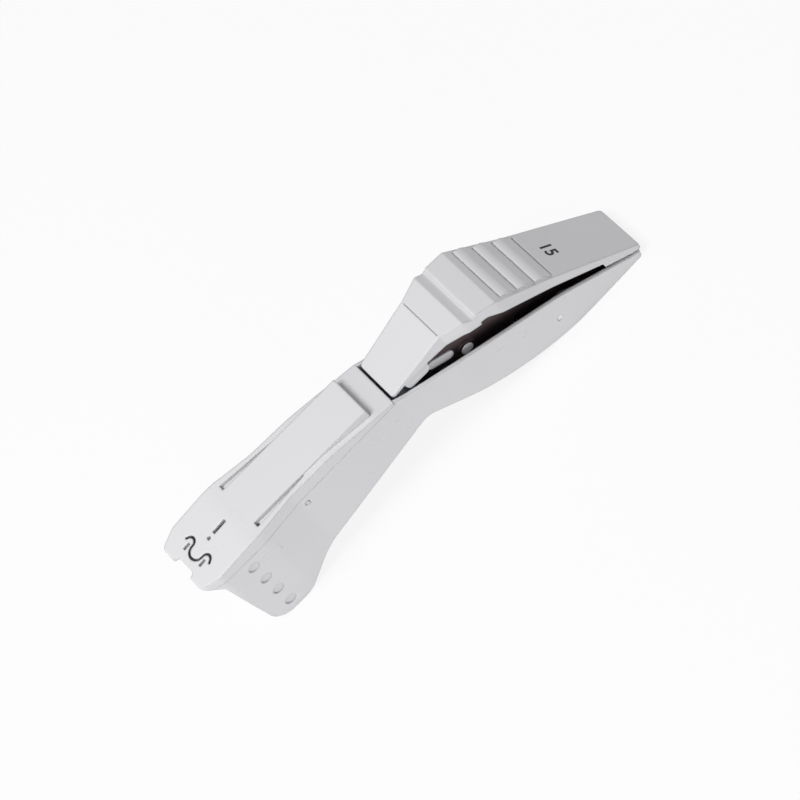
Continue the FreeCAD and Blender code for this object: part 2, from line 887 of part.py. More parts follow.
def build_follower_spring():
    """Zigzag strip spring between the plug and the follower."""
    low = float(dim.plug_z + dim.plug_thickness)
    high = float(stack_bottom_z() - dim.follower_height)
    front = float(column_front_x() + dim.spring_inset)
    rear = float(column_rear_x() - dim.spring_inset)
    strip = float(dim.spring_strip)
    folds = int(float(dim.spring_folds))
    step = (high - low) / folds
    half_strip = strip / 2 / math.sin(math.atan2(step, rear - front))
    left = []
    right = []
    for number in range(folds + 1):
        level = low + step * number
        x = float(lean_x(front if number % 2 == 0 else rear, level))
        left.append(Vector(x - half_strip, 0, level))
        right.append(Vector(x + half_strip, 0, level))
    loop = left + right[::-1] + [left[0]]
    half = float(dim.spring_half)
    face = Part.Face(Part.makePolygon(loop)).translated(Vector(0, -half, 0))
    spring = doc.addObject("Part::Feature", "follower_spring")
    spring.Label = "follower_spring"
    spring.Shape = face.extrude(Vector(0, 2 * half, 0))
    return spring


def build_cover():
    """Top cover with the nose lobes, the tongue and the central strip."""
    body = new_body("top_cover")
    shell_block(body, "cover", 0)
    nose_slope = (dim.kink_x - dim.nose_seam_x) / (dim.seam_z - dim.kink_z)
    trim_side(body, "cover_side", [
        (dim.nose_seam_x, dim.seam_z),
        (dim.cover_rear_x, dim.seam_z),
        (dim.cover_rear_x, dim.cover_rear_z),
        (dim.rail_x, dim.rail_z, 30.0),
        (dim.crown_x, dim.crown_z, 30.0),
        (dim.nose_tip_x, dim.nose_top_z, 0.5),
        (dim.nose_tip_x, dim.seam_z + (dim.nose_seam_x - dim.nose_tip_x) / nose_slope, 0.4),
    ])
    strip = new_sketch(body, "strip", "XZ_Plane")
    outline(strip, [
        (dim.crown_x + 2.0, dim.strip_z - 1.5),
        (dim.strip_rear_x, dim.cover_rear_z),
        (dim.strip_rear_x, dim.strip_z, 0.3),
        (dim.crown_x + 2.0, dim.strip_z - 0.045),
    ])
    pad(body, strip, 2 * dim.strip_half)
    channel_top = dim.ram_plane_z + dim.blade / 2 + dim.ram_gap
    cut_box(body, "blade_channel", dim.nose_tip_x - 1, dim.deck_rear_x + 0.6,
            dim.blade_half + dim.ram_gap, dim.seam_z - 1, channel_top)
    cut_box(body, "cover_hollow", dim.guide_front_x, dim.deck_rear_x + 0.6,
            dim.strip_half - 0.8, dim.seam_z - 1, dim.strip_z - dim.roof)
    carve_nose(body)
    carve_pockets(body)
    add_latches(body)
    return body


def carve_nose(body):
    """Recess between the lobes, gap round the tongue, windows and sight marks."""
    top = dim.crown_z + 1
    depth = top - dim.ram_plane_z
    recess = new_sketch(body, "recess", "XY_Plane", top + 1)
    outline(recess, [
        (dim.nose_tip_x - 2, -dim.recess_half - 1.2),
        (dim.nose_tip_x + 0.3, -dim.recess_half - 0.4, 0.5),
        (dim.recess_x, -dim.recess_half, 0.6),
        (dim.recess_x, dim.recess_half, 0.6),
        (dim.nose_tip_x + 0.3, dim.recess_half + 0.4, 0.5),
        (dim.nose_tip_x - 2, dim.recess_half + 1.2),
    ])
    down_pocket(body, recess, dim.plan_high_z)
    gap = new_sketch(body, "tongue_gap", "XY_Plane", top)
    outer = dim.tongue_half + dim.tongue_gap
    outline(gap, [
        (dim.tongue_root_x, dim.tongue_half),
        (dim.tongue_x, dim.tongue_half, dim.tongue_half + 0.001, -1),
        (dim.tongue_x, -dim.tongue_half),
        (dim.tongue_root_x, -dim.tongue_half),
        (dim.tongue_root_x, -outer),
        (dim.tongue_x, -outer, outer + 0.001, 1),
        (dim.tongue_x, outer),
        (dim.tongue_root_x, outer),
    ])
    down_pocket(body, gap, depth)
    for side, label in ((1, "far"), (-1, "near")):
        window = new_sketch(body, "window_" + label, "XY_Plane", top)
        rectangle(window, dim.window_front_x, side * (outer + 0.35),
                  dim.tongue_root_x - 0.2, side * dim.window_half)
        down_pocket(body, window, depth)
        curl_groove(body, label, side, top)
    sight = new_sketch(body, "sight_slot", "XY_Plane", top)
    rectangle(sight, dim.sight_front_x, -dim.sight_half, dim.sight_rear_x, dim.sight_half)
    down_pocket(body, sight, depth)
    dot = new_sketch(body, "sight_dot", "XY_Plane", top)
    circle(dot, dim.sight_dot_x, 0, dim.sight_dot_radius)
    down_pocket(body, dot, depth)


def ejector_z():
    """Level of the ejector wire at the front of its bend, just under the nose's skin."""
    front = dim.tongue_x - dim.tongue_half - dim.tongue_gap / 2
    rise = (dim.crown_z - dim.nose_top_z) / (dim.crown_x - dim.nose_tip_x)
    return dim.nose_top_z + (front - dim.nose_tip_x) * rise - dim.ejector_wire / 2 - dim.ejector_drop


def curl_groove(body, label, side, top):
    """Shallow groove for one hooked end of the ejector wire."""
    middle_y = dim.tongue_half + dim.tongue_gap / 2 + dim.curl_radius
    outer = dim.curl_radius + dim.tongue_gap / 2
    inner = dim.curl_radius - dim.tongue_gap / 2
    tail = 0.85
    sketch = new_sketch(body, "curl_" + label, "XY_Plane", top)

    def on_ring(radius, along):
        """Point at the ring's end, moved on along the wire's straight tip."""
        return (dim.tongue_root_x + radius * 0.5 - 0.866 * along,
                side * (middle_y + radius * 0.866 + 0.5 * along))

    outline(sketch, [
        (dim.tongue_root_x, side * (middle_y - outer), outer, -side),
        on_ring(outer, 0),
        on_ring(outer, tail),
        on_ring(inner, tail),
        on_ring(inner, 0) + (inner, side),
        (dim.tongue_root_x, side * (middle_y - inner)),
    ])
    down_pocket(body, sketch, top - ejector_z() + dim.ejector_wire)


def carve_pockets(body):
    """Tapering pockets between the strip and the rails, each with a small vent."""
    top = dim.crown_z + 1
    front_half = dim.strip_half + 1.4
    for side, label in ((1, "far"), (-1, "near")):
        sketch = new_sketch(body, "pocket_" + label, "XY_Plane", top)
        outline(sketch, [
            (dim.strip_front_x, side * dim.strip_half),
            (dim.pocket_rear_x, side * dim.strip_half),
            (dim.pocket_rear_x, side * (dim.strip_half + 0.25)),
            (dim.strip_front_x, side * front_half),
        ])
        down_pocket(body, sketch, top - dim.pocket_floor_z)
        vent = new_sketch(body, "vent_" + label, "XY_Plane", top)
        rectangle(vent, dim.strip_front_x, side * dim.strip_half,
                  dim.strip_front_x + dim.vent, side * (dim.strip_half + dim.vent))
        down_pocket(body, vent, dim.plan_high_z)


def add_latches(body):
    """Hooks that hang inside the housing's walls, with nubs in its windows."""
    lean = (dim.neck_half - dim.neck_half_low) / (dim.plan_high_z - dim.plan_low_z)
    outside = dim.neck_half_low + lean * (dim.latch_z - dim.plan_low_z)
    inside = outside - dim.wall - dim.latch_gap
    half = dim.latch_size / 2
    hook = new_sketch(body, "hooks", "XZ_Plane")
    rectangle(hook, dim.latch_x - dim.hook_half, dim.latch_z - half - 0.4,
              dim.latch_x + dim.hook_half, dim.seam_z + 1)
    pad(body, hook, 2 * inside)
    nub = new_sketch(body, "nubs", "XZ_Plane")
    rectangle(nub, dim.latch_x - half, dim.latch_z - half, dim.latch_x + half, dim.latch_z + half)
    pad(body, nub, 2 * (outside + 0.05))
    cut_box(body, "between_hooks", dim.latch_x - 2 * dim.hook_half, dim.latch_x + 2 * dim.hook_half,
            inside - dim.wall, 0, dim.seam_z - 0.001)
    cut_box(body, "between_hook_roots", dim.latch_x - 2 * dim.hook_half,
            dim.latch_x + 2 * dim.hook_half, dim.strip_half - 0.8, 0, dim.ram_plane_z)


def build_anvil():
    """Steel plate under the nose with an upturned forming lip."""
    body = new_body("anvil")
    plate_top = guide_bottom_z() + dim.guide_plate
    lip_front = dim.recess_x + 0.9
    add_box(body, "anvil_plate", lip_front,
            lean_x(column_front_x() - dim.magazine_wall, dim.seam_z) - dim.ram_gap,
            dim.staple_half, dim.seam_z, plate_top)
    add_box(body, "anvil_lip", lip_front, lip_front + 0.6, dim.tongue_half - 0.1,
            dim.seam_z, dim.ram_plane_z + dim.blade / 2)
    return body


def build_guide():
    """Channel that the blade slides in, from the magazine back."""
    body = new_body("ram_guide")
    plate_top = guide_bottom_z() + dim.guide_plate
    add_box(body, "guide_floor", dim.guide_front_x, dim.guide_rear_x, dim.strip_half - 0.9,
            guide_bottom_z(), plate_top)
    rails = new_sketch(body, "guide_rails", "XZ_Plane")
    rectangle(rails, dim.guide_front_x, guide_bottom_z(), dim.guide_rear_x,
              plate_top + dim.blade + dim.ram_gap)
    pad(body, rails, 2 * (dim.strip_half - 0.9))
    cut_box(body, "guide_track", dim.guide_front_x - 1, dim.guide_rear_x + 1,
            dim.blade_half + dim.ram_gap, plate_top, plate_top + 2)
    return body


def build_blade():
    """Steel strip with a forked front that pushes a staple's shoulders."""
    body = new_body("ram_blade")
    low = dim.ram_plane_z - dim.blade / 2
    front = dim.crown_back_x + dim.column_gap
    add_box(body, "strip_steel", front, dim.blade_rear_x, dim.blade_half, low, low + dim.blade)
    cut_box(body, "fork", front - 1, front + dim.fork_depth, dim.fork_half, low - 1, low + 1.5)
    holes = new_sketch(body, "rivet_holes", "XY_Plane", low - 1)
    for x in rivet_places():
        circle(holes, x, 0, dim.rivet_radius)
    pocket(body, holes, 3.0, symmetric=False, reverse=True)
    return body


def rivet_places():
    """Places of the two rivets along the carriage's deck."""
    return [dim.deck_front_x + dim.rivet_front, dim.deck_rear_x - dim.rivet_rear]


def build_rivets():
    """Two rivets through the blade into the deck."""
    body = new_body("blade_rivets")
    low = dim.ram_plane_z - dim.blade / 2
    shanks = new_sketch(body, "rivet_shanks", "XY_Plane", low - dim.deck / 2)
    for x in rivet_places():
        circle(shanks, x, 0, dim.rivet_radius - dim.pin_gap)
    feature = pad(body, shanks, dim.deck / 2 + dim.blade, symmetric=False)
    feature.AllowMultiFace = True
    return body


def build_carriage():
    """Moulded slide: a deck under the blade, a riser, a low bar and the pin's block."""
    body = new_body("ram_carriage")
    deck_top = dim.ram_plane_z - dim.blade / 2
    add_box(body, "deck", dim.deck_front_x, dim.deck_rear_x, dim.deck_half,
            deck_top - dim.deck, deck_top)
    add_box(body, "riser", dim.deck_rear_x - dim.riser, dim.deck_rear_x, dim.bar_half + 0.8,
            dim.bar_bottom_z, deck_top - 0.5)
    side = new_sketch(body, "bar", "XZ_Plane")
    block_rear = dim.tail_block_x + dim.tail_block_length
    outline(side, [
        (dim.deck_rear_x - dim.riser, dim.bar_bottom_z),
        (dim.tail_block_x - 1.2, dim.bar_bottom_z),
        (dim.tail_block_x, dim.tail_block_z),
        (block_rear, dim.tail_block_z, 0.8),
        (block_rear, dim.cross_pin_z + 1.7, 0.8),
        (dim.tail_block_x - 1.2, dim.bar_top_z),
        (dim.deck_rear_x - dim.riser, dim.bar_top_z),
    ])
    pad(body, side, 2 * dim.bar_half)
    cross_hole(body, "cross_pin_hole", dim.cross_pin_x, dim.cross_pin_z,
               dim.cross_pin_radius + dim.pin_gap, REACH)
    holes = new_sketch(body, "deck_holes", "XY_Plane", deck_top + 1)
    for x in rivet_places():
        circle(holes, x, 0, dim.rivet_radius)
    pocket(body, holes, dim.deck / 2 + 1, symmetric=False)
    return body


def build_pin(name, x, z, radius, half):
    """Round pin across the part."""
    body = new_body(name)
    sketch = new_sketch(body, name + "_circle", "XZ_Plane")
    circle(sketch, x, z, radius)
    pad(body, sketch, 2 * Size.of(half))
    return body


def in_arm(x, z, angle):
    """Where a point fixed to the housing lies in the arm once it is pressed by an angle."""
    along = x - dim.pivot_x
    up = z - dim.pivot_z
    return (dim.pivot_x + along * cosine(angle) + up * sine(angle),
            dim.pivot_z + up * cosine(angle) - along * sine(angle))


def cam_point(share):
    """Middle of the cam slot at a share of the lever's travel."""
    return in_arm(dim.cross_pin_x - dim.ram_stroke * share, dim.cross_pin_z, dim.press_angle * share)


def build_arm():
    """Steel channel under the lever with cam slots, stop slots and the locating holes."""
    body = new_body("drive_arm")
    eye = dim.arm_eye
    side = new_sketch(body, "arm_side", "XZ_Plane")
    outline(side, [
        (dim.arm_front_x, dim.arm_chin_z, dim.arm_round),
        (dim.arm_throat_x, dim.arm_throat_z, dim.arm_round),
        (dim.arm_low_x, dim.arm_low_z, dim.arm_round),
        (dim.arm_heel_x, dim.arm_heel_z, dim.arm_round),
        (dim.stop_pin_x, dim.stop_pin_z - dim.arm_stop_drop, dim.arm_round * 2),
        (dim.arm_notch_front_x, dim.arm_notch_z, dim.arm_round),
        (dim.arm_notch_rear_x, dim.arm_notch_z, dim.arm_round),
        (dim.pivot_x - eye * 2.1, dim.pivot_z - eye * 0.7, dim.arm_round * 2),
        (dim.pivot_x + eye, dim.pivot_z - eye, eye * 0.9),
        (dim.pivot_x + eye, dim.pivot_z + eye * 0.55, eye * 0.7),
        (dim.arm_bend_x, dim.arm_bend_z, dim.arm_round * 2),
        (dim.arm_peak_x, dim.arm_peak_z, dim.arm_round),
        (dim.arm_front_x, dim.arm_top_z, dim.arm_round),
    ])
    pad(body, side, 2 * dim.arm_half)
    collar = new_sketch(body, "boss_collar", "XZ_Plane")
    circle(collar, dim.boss_x, dim.boss_z, dim.boss_radius + dim.collar_wall)
    pad(body, collar, 2 * (dim.arm_half + dim.lug_proud))
    inner = new_sketch(body, "arm_inside", "XZ_Plane")
    outline(inner, [
        (-REACH, -REACH),
        (dim.pivot_x + 4.2 * eye, -REACH),
        (dim.pivot_x + 4.2 * eye, dim.pivot_z - 2.05 * eye),
        (dim.arm_bend_x - dim.arm_plate * 0.5, dim.arm_bend_z - dim.arm_roof * 0.8),
        (dim.arm_peak_x + dim.arm_plate * 0.75, dim.arm_peak_z - dim.arm_roof),
        (dim.arm_peak_x + dim.arm_plate * 0.75, REACH),
        (-REACH, REACH),
    ])
    pocket(body, inner, 2 * (dim.arm_half - dim.arm_plate))
    cross_hole(body, "arm_pivot", dim.pivot_x, dim.pivot_z, dim.pivot_pin_radius + dim.pin_gap, REACH)
    slot_radius = dim.cross_pin_radius + dim.pin_gap
    for number in range(3):
        start = cam_point(number / 3)
        end = cam_point((number + 1) / 3)
        cam = new_sketch(body, "cam_slot_" + str(number), "XZ_Plane")
        oblong(cam, start[0], start[1], end[0], end[1], slot_radius)
        pocket(body, cam, 4 * dim.arm_half)
    stop = new_sketch(body, "stop_slot", "XZ_Plane")
    stop_end = in_arm(dim.stop_pin_x, dim.stop_pin_z, dim.press_angle)
    oblong(stop, dim.stop_pin_x, dim.stop_pin_z, stop_end[0], stop_end[1],
           dim.stop_pin_radius + dim.pin_gap)
    pocket(body, stop, 4 * dim.arm_half)
    cross_hole(body, "arm_boss_hole", dim.boss_x, dim.boss_z, dim.boss_radius + dim.lug_gap, REACH)
    lug = new_sketch(body, "arm_lug_slot", "XZ_Plane")
    oblong(lug, dim.lug_x, dim.lug_z, dim.lug_x + dim.lug_length, dim.lug_z - dim.lug_drop,
           dim.lug_radius + dim.lug_gap)
    pocket(body, lug, 4 * dim.arm_half)
    return body


def lever_plan(inset):
    """Half plan of the thumb lever."""
    return [
        (dim.foot_x + inset, dim.foot_half - inset, 0.8),
        (dim.facet_front_x, dim.facet_half - inset),
        (dim.facet_rear_x, dim.shoulder_half - inset),
        (dim.crest_x, dim.crest_half - inset, 2.0),
        (dim.grip_end_x, dim.grip_half - inset, 10.0),
        (dim.nose_tip_x * -1 - inset, dim.lever_tail_half - inset, 0.8),
    ]


def lever_inner_plan():
    """Half plan of the lever's hollow, narrow between the drafted cheeks."""
    cheek = dim.cheek_half - dim.lever_wall
    inset = dim.lever_wall
    return [
        (dim.foot_x + inset, cheek),
        (dim.cheek_rear_x, cheek),
        (dim.facet_front_x, dim.facet_half - inset),
        (dim.facet_rear_x + 0.6, dim.shoulder_half - inset),
        (dim.crest_x, dim.crest_half - inset),
        (dim.grip_end_x, dim.grip_half - inset),
        (dim.nose_tip_x * -1 - inset, dim.lever_tail_half - inset),
    ]


def build_lever():
    """White thumb lever: facets, notch, grip ribs and the long rear face."""
    core = new_body("lever_core")
    plan = new_sketch(core, "lever_core_plan", "XY_Plane", dim.plan_low_z)
    outline(plan, mirrored(lever_inner_plan()))
    pad(core, plan, dim.plan_high_z - dim.plan_low_z, symmetric=False)
    wall = dim.lever_wall
    tail_x = dim.nose_tip_x * -1
    slope = (dim.crest_z - dim.lever_tail_z) / (tail_x - dim.crest_x)
    trim_side(core, "lever_core_side", [
        (dim.foot_x + wall, dim.plan_low_z - wall),
        (tail_x - wall, dim.plan_low_z - wall),
        (tail_x - wall, dim.lever_tail_z - wall * 0.6),
        (dim.crest_x - wall * 0.4, dim.crest_z - wall * 1.1),
        (dim.step_x, dim.step_z - wall * 1.6),
        (dim.facet_rear_x, dim.facet_rear_z - wall * 1.9),
        (dim.facet_front_x, dim.facet_front_z - wall * 1.4),
        (dim.foot_x + wall, dim.foot_top_z - wall * 0.8),
    ])
    body = new_body("thumb_lever")
    plan = new_sketch(body, "lever_plan", "XY_Plane", dim.plan_low_z)
    outline(plan, mirrored(lever_plan(0)))
    pad(body, plan, dim.plan_high_z - dim.plan_low_z, symmetric=False)
    skirt_rear_z = dim.wall_top_rear_z + dim.skirt_tail_gap
    cheek_z = dim.facet_front_z - dim.cheek_drop
    trim_side(body, "lever_side", [
        (dim.foot_x, dim.foot_bottom_z),
        (dim.lobe_x - dim.lobe_reach, dim.foot_bottom_z + dim.foot_rise),
        (dim.lobe_x - dim.lobe_reach * 0.85, dim.lobe_z, 1.3),
        (dim.lobe_x + dim.lobe_reach * 0.9, dim.lobe_z, 1.3),
        (dim.cheek_rear_x, cheek_z - dim.lobe_rise),
        (dim.cheek_rear_x + 0.1, cheek_z),
        (dim.skirt_front_edge_x, dim.facet_rear_z - dim.skirt_front_drop, 1.0),
        (dim.skirt_notch_x, dim.crest_z - dim.skirt_mid_drop - dim.skirt_notch),
        (dim.skirt_notch_x + 0.1, dim.crest_z - dim.skirt_mid_drop),
        (dim.skirt_mid_x, dim.crest_z - dim.skirt_mid_drop, 2.0),
        (dim.skirt_low_x, dim.skirt_low_z),
        (dim.skirt_tail_x, skirt_rear_z + (dim.wall_top_rear_x - dim.skirt_tail_x) * 0.65),
        (dim.wall_top_rear_x + 1.0, skirt_rear_z - 0.5),
        (tail_x, skirt_rear_z - 1.3),
        (tail_x, dim.lever_tail_z, 0.4),
        (dim.crest_x, dim.crest_z, 0.5),
        (dim.step_x, dim.step_z),
        (dim.step_x - 0.2, dim.step_z - 0.45),
        (dim.notch_x + 0.2, dim.notch_z + 0.35),
        (dim.notch_x, dim.notch_z),
        (dim.facet_rear_x, dim.facet_rear_z),
        (dim.facet_front_x, dim.facet_front_z),
        (dim.foot_x, dim.foot_top_z, 0.3),
    ])
    cut_body(body, core)
    taper_cheeks(body, cheek_z)
    add_ribs(body, slope)
    add_lugs(body)
    return body


def taper_cheeks(body, cheek_z):
    """Takes the lobes in at both sides, so that they pass between the walls."""
    for side, label in ((1, "far"), (-1, "near")):
        sketch = new_sketch(body, "cheek_" + label, "YZ_Plane", dim.foot_x - 1)
        outline(sketch, [
            (side * dim.facet_half, cheek_z),
            (side * dim.cheek_half, cheek_z - dim.lobe_rise / 4),
            (side * dim.cheek_half, 0),
            (side * dim.crest_half * 2, 0),
            (side * dim.crest_half * 2, cheek_z),
        ])
        pocket(body, sketch, dim.cheek_rear_x + 0.2 - dim.foot_x + 1, symmetric=False, reverse=True)
    fold = new_sketch(body, "facet_crease", "XZ_Plane")
    outline(fold, [
        (dim.facet_front_x - dim.crease, dim.facet_front_z + dim.crease),
        (dim.facet_front_x, dim.facet_front_z - dim.crease),
        (dim.facet_front_x + dim.crease * 0.5, dim.facet_front_z + dim.crease),
    ])
    pocket(body, fold, 2 * (dim.facet_half - dim.rib_margin))


def add_ribs(body, slope):
    """Three grip ribs across the rear slope, each between two thin creases."""
    for number in range(4):
        start = dim.rib_front_x + dim.rib_pitch * number
        front_z = dim.crest_z - (start - dim.crest_x) * slope
        share = (start - dim.crest_x) / (dim.grip_end_x - dim.crest_x)
        half = dim.crest_half + (dim.grip_half - dim.crest_half) * share - dim.rib_margin
        if number < 3:
            sketch = new_sketch(body, "rib_" + str(number), "XZ_Plane")
            end = start + dim.rib_pitch
            outline(sketch, [
                (start, front_z - 0.3),
                (end, front_z - dim.rib_pitch * slope - 0.3),
                (end, front_z - dim.rib_pitch * slope),
                (start + dim.rib_width, front_z - dim.rib_width * slope + dim.rib_height,
                 dim.rib_pitch, -1),
                (start, front_z),
            ])
            pad(body, sketch, 2 * half)
        groove = new_sketch(body, "crease_" + str(number), "XZ_Plane")
        outline(groove, [
            (start - dim.crease * 0.6, front_z + dim.crease),
            (start - dim.crease * 0.1, front_z - dim.crease),
            (start + dim.crease * 0.8, front_z + dim.crease * 0.3),
            (start + dim.crease * 0.8, front_z + dim.crease),
        ])
        pocket(body, groove, 2 * half)


def add_lugs(body):
    """Ribs under the lever's roof with the boss and the long lug that seat in the arm."""
    inner = dim.arm_half - dim.arm_plate - 0.1
    thick = dim.rib_wall
    web = new_sketch(body, "lug_webs", "XZ_Plane")
    outline(web, [
        (dim.lug_x - 1.0, dim.lug_z - 1.0),
        (dim.lug_x + dim.lug_length - 0.6, dim.lug_z - dim.lug_drop - 1.0),
        (dim.boss_x - 1.0, dim.boss_z - 1.2),
        (dim.boss_x + 1.3, dim.boss_z - 1.2),
        (dim.boss_x + 1.6, dim.facet_front_z - 1.4),
        (dim.facet_front_x, dim.facet_front_z - 1.2),
        (dim.lug_x - 1.0, dim.facet_front_z - 2.9),
    ])
    pad(body, web, 2 * inner)
    cut_box(body, "between_webs", dim.lug_x - 2, dim.boss_x + 3, inner - thick, dim.boss_z - 3,
            dim.facet_front_z - 3.2)
    lugs = new_sketch(body, "long_lugs", "XZ_Plane")
    oblong(lugs, dim.lug_x, dim.lug_z, dim.lug_x + dim.lug_length, dim.lug_z - dim.lug_drop,
           dim.lug_radius)
    pad(body, lugs, 2 * (dim.arm_half + dim.lug_proud))
    bosses = new_sketch(body, "bosses", "XZ_Plane")
    circle(bosses, dim.boss_x, dim.boss_z, dim.boss_radius)
    pad(body, bosses, 2 * (dim.arm_half + dim.lug_proud))
    cut_box(body, "between_lugs", dim.lug_x - 2, dim.boss_x + 3, inner - thick, dim.boss_z - 3,
            dim.facet_front_z - 3.2)


def build_return_spring():
    """Bent leaf on the spring pin that lifts the arm."""
    body = new_body("return_spring")
    strip = dim.spring_strip
    side = new_sketch(body, "leaf", "XZ_Plane")
    pin_x = dim.spring_pin_x
    pin_z = dim.spring_pin_z
    reach = dim.spring_pin_radius + dim.pin_gap
    low = pin_z - reach
    bend_x = pin_x + dim.leaf_bend
    lean = (bend_x - dim.leaf_tip_x) / (dim.leaf_tip_z - low + strip)
    across = strip * 1.12
    outline(side, [
        (dim.leaf_foot_x, low - strip),
        (bend_x, low - strip, strip * 2.9),
        (dim.leaf_tip_x, dim.leaf_tip_z),
        (dim.leaf_tip_x - across, dim.leaf_tip_z),
        (bend_x - across - strip * lean, low, strip * 1.7),
        (dim.leaf_foot_x, low),
    ])
    pad(body, side, 2 * dim.spring_half)
    return body


def build_ejector():
    """Thin square wire bent round the tongue, with a hook turned outward at each end."""
    radius = float(dim.tongue_half + dim.tongue_gap / 2)
    level = float(ejector_z())
    bend_x = float(dim.tongue_x)
    root = float(dim.tongue_root_x)
    curl = float(dim.curl_radius)
    middle_y = radius + curl
    end_x = root + curl * 0.5
    end_y = middle_y + curl * 0.866
    tip = 0.7

    def at(x, y):
        return Vector(x, y, level)

    def hook(side):
        """Straight run, curl and straight tip of one side, from the bend to the tip."""
        curve = Part.Arc(at(root, side * radius), at(root + curl, side * middle_y), at(end_x, side * end_y))
        return [
            Part.LineSegment(at(bend_x, side * radius), at(root, side * radius)),
            curve,
            Part.LineSegment(at(end_x, side * end_y), at(end_x - tip * 0.866, side * (end_y + tip * 0.5))),
        ]

    front = Part.Arc(at(bend_x, -radius), at(bend_x - radius, 0), at(bend_x, radius))
    path = Part.Wire([piece.toShape() for piece in hook(-1)[::-1] + [front] + hook(1)])
    start = at(end_x - tip * 0.866, -(end_y + tip * 0.5))
    half = float(dim.ejector_wire) / 2
    across = Vector(0.5, -0.866, 0)
    corners = [across * x + Vector(0, 0, z) for x, z in
               ((-half, -half), (half, -half), (half, half), (-half, half), (-half, -half))]
    section = Part.makePolygon([start + corner for corner in corners])
    wire = path.makePipeShell([section], True, False)
    slope = math.atan2(float(dim.crown_z - dim.nose_top_z), float(dim.crown_x - dim.nose_tip_x))
    wire.rotate(at(bend_x - radius, 0), Vector(0, 1, 0), -math.degrees(slope))
    spring = doc.addObject("Part::Feature", "ejector_spring")
    spring.Label = "ejector_spring"
    spring.Shape = wire
    return spring


def main():
    """Builds every piece, checks it and writes it."""
    pieces = [
        finish_housing(build_housing()),
        build_cover(),
        build_magazine(),
        build_magazine_base(),
        build_anvil(),
        build_ejector(),
        build_guide(),
        build_pin("pivot_pin", dim.pivot_x, dim.pivot_z, dim.pivot_pin_radius,
                  dim.arm_half + dim.ear_gap + dim.ear),
        build_pin("stop_pin", dim.stop_pin_x, dim.stop_pin_z, dim.stop_pin_radius,
                  stop_pin_half() - dim.pin_gap),
        build_pin("spring_pin", dim.spring_pin_x, dim.spring_pin_z, dim.spring_pin_radius,
                  dim.belly_half + 0.1),
        build_return_spring(),
        build_lever(),
        build_arm(),
        build_carriage(),
        build_blade(),
        build_rivets(),
        build_pin("cross_pin", dim.cross_pin_x, dim.cross_pin_z, dim.cross_pin_radius,
                  dim.arm_half + 0.4),
        build_follower(),
        build_follower_spring(),
    ] + build_staples()
    doc.recompute()
    for item in doc.Objects:
        if "Invalid" in item.State or "Error" in item.State:
            raise RuntimeError("failed: " + item.Name)
    for piece in pieces:
        if piece.Shape.isNull() or not piece.Shape.isValid():
            raise RuntimeError("bad shape: " + piece.Label)
    os.makedirs("parts", exist_ok=True)
    for piece in pieces:
        piece.Shape.exportStep("parts/" + piece.Label + ".step")
        box = piece.Shape.BoundBox
        print(piece.Label, "solids", len(piece.Shape.Solids), "volume", round(piece.Shape.Volume, 2),
              "x", round(box.XMin, 1), round(box.XMax, 1), "z", round(box.ZMin, 1), round(box.ZMax, 1))


main()
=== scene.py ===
"""Skin stapler: materials, printed digits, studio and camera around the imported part.

Metres. +X runs from the nose to the tail, +Y across, +Z up, and the part stands on z = 0.
"""

import bpy
from mathutils import Matrix, Vector


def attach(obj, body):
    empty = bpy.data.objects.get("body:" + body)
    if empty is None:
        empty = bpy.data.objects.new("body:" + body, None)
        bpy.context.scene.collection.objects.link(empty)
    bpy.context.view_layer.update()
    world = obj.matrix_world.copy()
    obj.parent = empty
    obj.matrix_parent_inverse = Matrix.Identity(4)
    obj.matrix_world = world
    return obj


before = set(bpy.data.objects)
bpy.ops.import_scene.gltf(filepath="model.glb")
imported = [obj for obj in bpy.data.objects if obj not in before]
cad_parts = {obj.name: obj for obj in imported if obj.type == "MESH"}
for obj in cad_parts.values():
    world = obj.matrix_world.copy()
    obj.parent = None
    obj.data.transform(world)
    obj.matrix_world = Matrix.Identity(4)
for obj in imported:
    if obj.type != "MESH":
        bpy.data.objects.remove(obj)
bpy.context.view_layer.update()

MM = 0.001


# Materials


def new_material(name):
    """Empty node material with a Principled shader."""
    material = bpy.data.materials.new(name)
    material.use_nodes = True
    tree = material.node_tree
    tree.nodes.clear()
    shader = tree.nodes.new("ShaderNodeBsdfPrincipled")
    output = tree.nodes.new("ShaderNodeOutputMaterial")
    tree.links.new(shader.outputs["BSDF"], output.inputs["Surface"])
    return material, tree, shader


def noise(tree, scale, detail=4.0, stretch=(1.0, 1.0, 1.0)):
    """Noise in object space, at a scale in features per metre."""
    place = tree.nodes.new("ShaderNodeTexCoord")
    spread = tree.nodes.new("ShaderNodeMapping")
    spread.inputs["Scale"].default_value = stretch
    texture = tree.nodes.new("ShaderNodeTexNoise")
    texture.inputs["Scale"].default_value = scale
    texture.inputs["Detail"].default_value = detail
    tree.links.new(place.outputs["Object"], spread.inputs["Vector"])
    tree.links.new(spread.outputs["Vector"], texture.inputs["Vector"])
    return texture.outputs["Fac"]


def ramp(tree, source, low, high, low_at=0.3, high_at=0.7):
    """Colour ramp between two colours."""
    node = tree.nodes.new("ShaderNodeValToRGB")
    node.color_ramp.elements[0].position = low_at
    node.color_ramp.elements[0].color = (*low, 1.0)
    node.color_ramp.elements[1].position = high_at
    node.color_ramp.elements[1].color = (*high, 1.0)
    tree.links.new(source, node.inputs["Fac"])
    return node.outputs["Color"]


def spread_range(tree, source, low, high):
    """Value spread between two ends."""
    node = tree.nodes.new("ShaderNodeMapRange")
    node.inputs["From Min"].default_value = 0.2
    node.inputs["From Max"].default_value = 0.8
    node.inputs["To Min"].default_value = low
    node.inputs["To Max"].default_value = high
    tree.links.new(source, node.inputs["Value"])
    return node.outputs["Result"]


